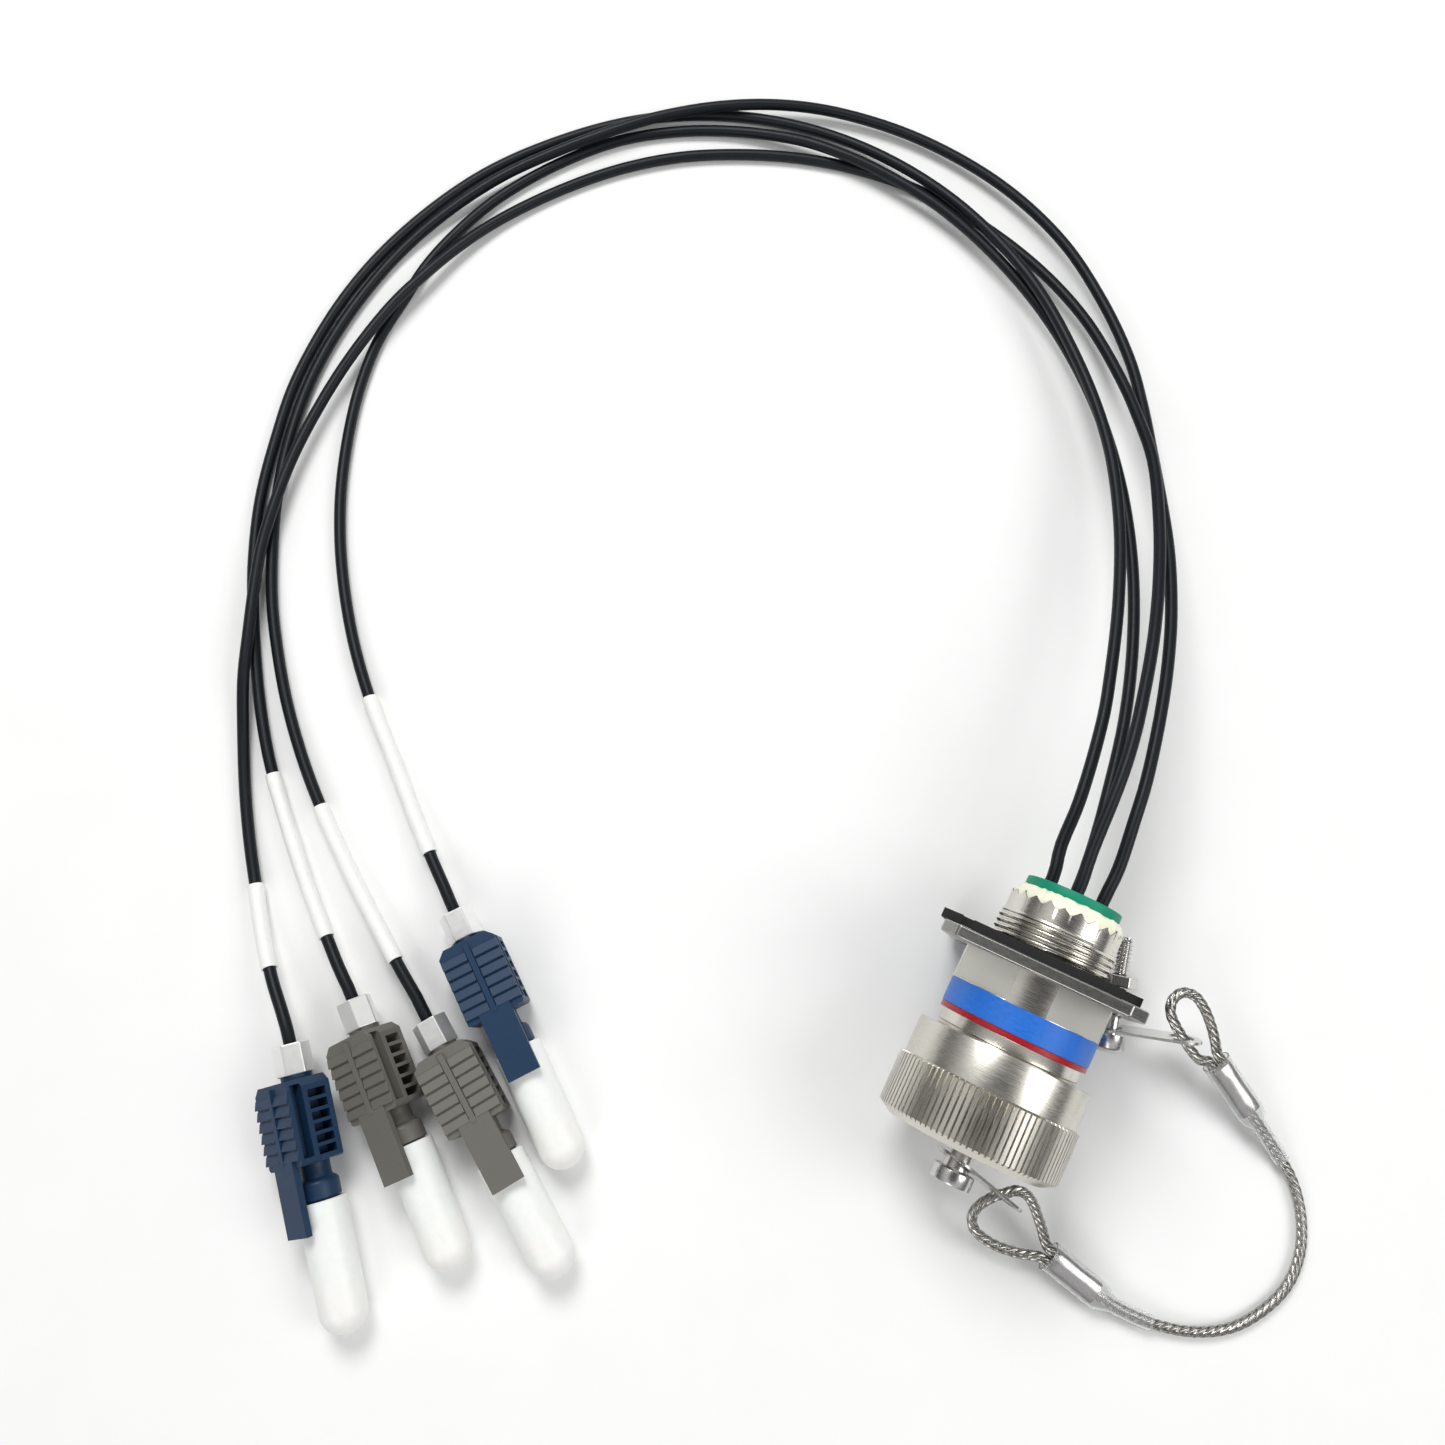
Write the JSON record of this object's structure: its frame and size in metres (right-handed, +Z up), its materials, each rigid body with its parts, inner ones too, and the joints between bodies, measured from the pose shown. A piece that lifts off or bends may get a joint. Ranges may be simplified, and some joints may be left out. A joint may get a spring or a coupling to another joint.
{
  "type": "fibre optic cable assembly",
  "caption": "Square flange receptacle with knurled protective cap on a wire lanyard, and black fibre cables ending in blue and grey latching plugs with white dust caps.",
  "frame": {"origin": "on the floor, under the middle of the box around the receptacle, its cap and their fixings", "axes": "+Z up, +Y along the receptacle from its cap toward the cables, +X to the right seen from the cap"},
  "size_m": [0.2362, 0.2534, 0.0388],
  "materials": {
    "nickel": "nickel plated, satin",
    "steel": "plain stainless",
    "wire_rope": "stranded stainless wire",
    "ferrule_chrome": "bright crimped sleeve",
    "clear_sleeve": "clear shrink sleeve",
    "gasket_rubber": "black",
    "insert_green": "green moulded insert",
    "resin_cream": "pale potting resin",
    "cable_black": "black jacket",
    "label_white": "white sleeve",
    "crimp_metal": "bright crimp ring",
    "cap_white": "soft white plastic",
    "plug_grey": "grey moulding",
    "plug_blue": "dark blue moulding"
  },
  "bodies": {
    "receptacle": {"receptacle_shell": "nickel", "flange_lug": "steel", "flange_screw": "steel", "flange_nut": "steel", "lanyard_run": "wire_rope", "lanyard_loop_flange": "wire_rope", "ferrule_flange": "ferrule_chrome", "sleeve_flange": "clear_sleeve", "flange_gasket": "gasket_rubber", "rear_insert": "insert_green", "front_insert": "insert_green", "potting": "resin_cream", "cable_a": "cable_black", "label_a": "label_white", "crimp_a": "crimp_metal", "plug_a": "plug_grey", "cable_b": "cable_black", "label_b": "label_white", "crimp_b": "crimp_metal", "plug_b": "plug_blue", "cable_c": "cable_black", "label_c": "label_white", "crimp_c": "crimp_metal", "plug_c": "plug_blue", "cable_d": "cable_black", "label_d": "label_white", "crimp_d": "crimp_metal", "plug_d": "plug_grey"},
    "cap_carrier": {"cap_lug": "steel", "lanyard_loop_cap": "wire_rope", "ferrule_cap": "ferrule_chrome", "sleeve_cap": "clear_sleeve"},
    "cap": {"protective_cap": "nickel", "cap_screw": "steel"},
    "dust_cap_body_a": {"dust_cap_a": "cap_white"},
    "dust_cap_body_b": {"dust_cap_b": "cap_white"},
    "dust_cap_body_c": {"dust_cap_c": "cap_white"},
    "dust_cap_body_d": {"dust_cap_d": "cap_white"}
  },
  "joints": [
    {"name": "cap_travel", "type": "slide", "parent": "receptacle", "child": "cap_carrier", "axis": [0, -0.9953, -0.0965], "range_m": [0, 0.0076], "deforming": ["lanyard_run"]},
    {"name": "cap_turn", "type": "hinge", "parent": "cap_carrier", "child": "cap", "pos_m": [-0.00535, -0.01193, 0.01715], "axis": [0, -0.9953, -0.0965], "range_deg": [0, 360]},
    {"name": "dust_cap_pull_a", "type": "slide", "parent": "receptacle", "child": "dust_cap_body_a", "axis": [0.747, -0.6645, -0.0219], "range_m": [0, 0.016]},
    {"name": "dust_cap_pull_b", "type": "slide", "parent": "receptacle", "child": "dust_cap_body_b", "axis": [0.7772, -0.6292, 0], "range_m": [0, 0.016]},
    {"name": "dust_cap_pull_c", "type": "slide", "parent": "receptacle", "child": "dust_cap_body_c", "axis": [0.6322, -0.7735, -0.0462], "range_m": [0, 0.016]},
    {"name": "dust_cap_pull_d", "type": "slide", "parent": "receptacle", "child": "dust_cap_body_d", "axis": [0.8166, -0.5773, 0], "range_m": [0, 0.016]}
  ],
  "couplings": [
    {"joint": "cap_turn", "follows": "cap_travel", "rad_per_m": 826}
  ]
}
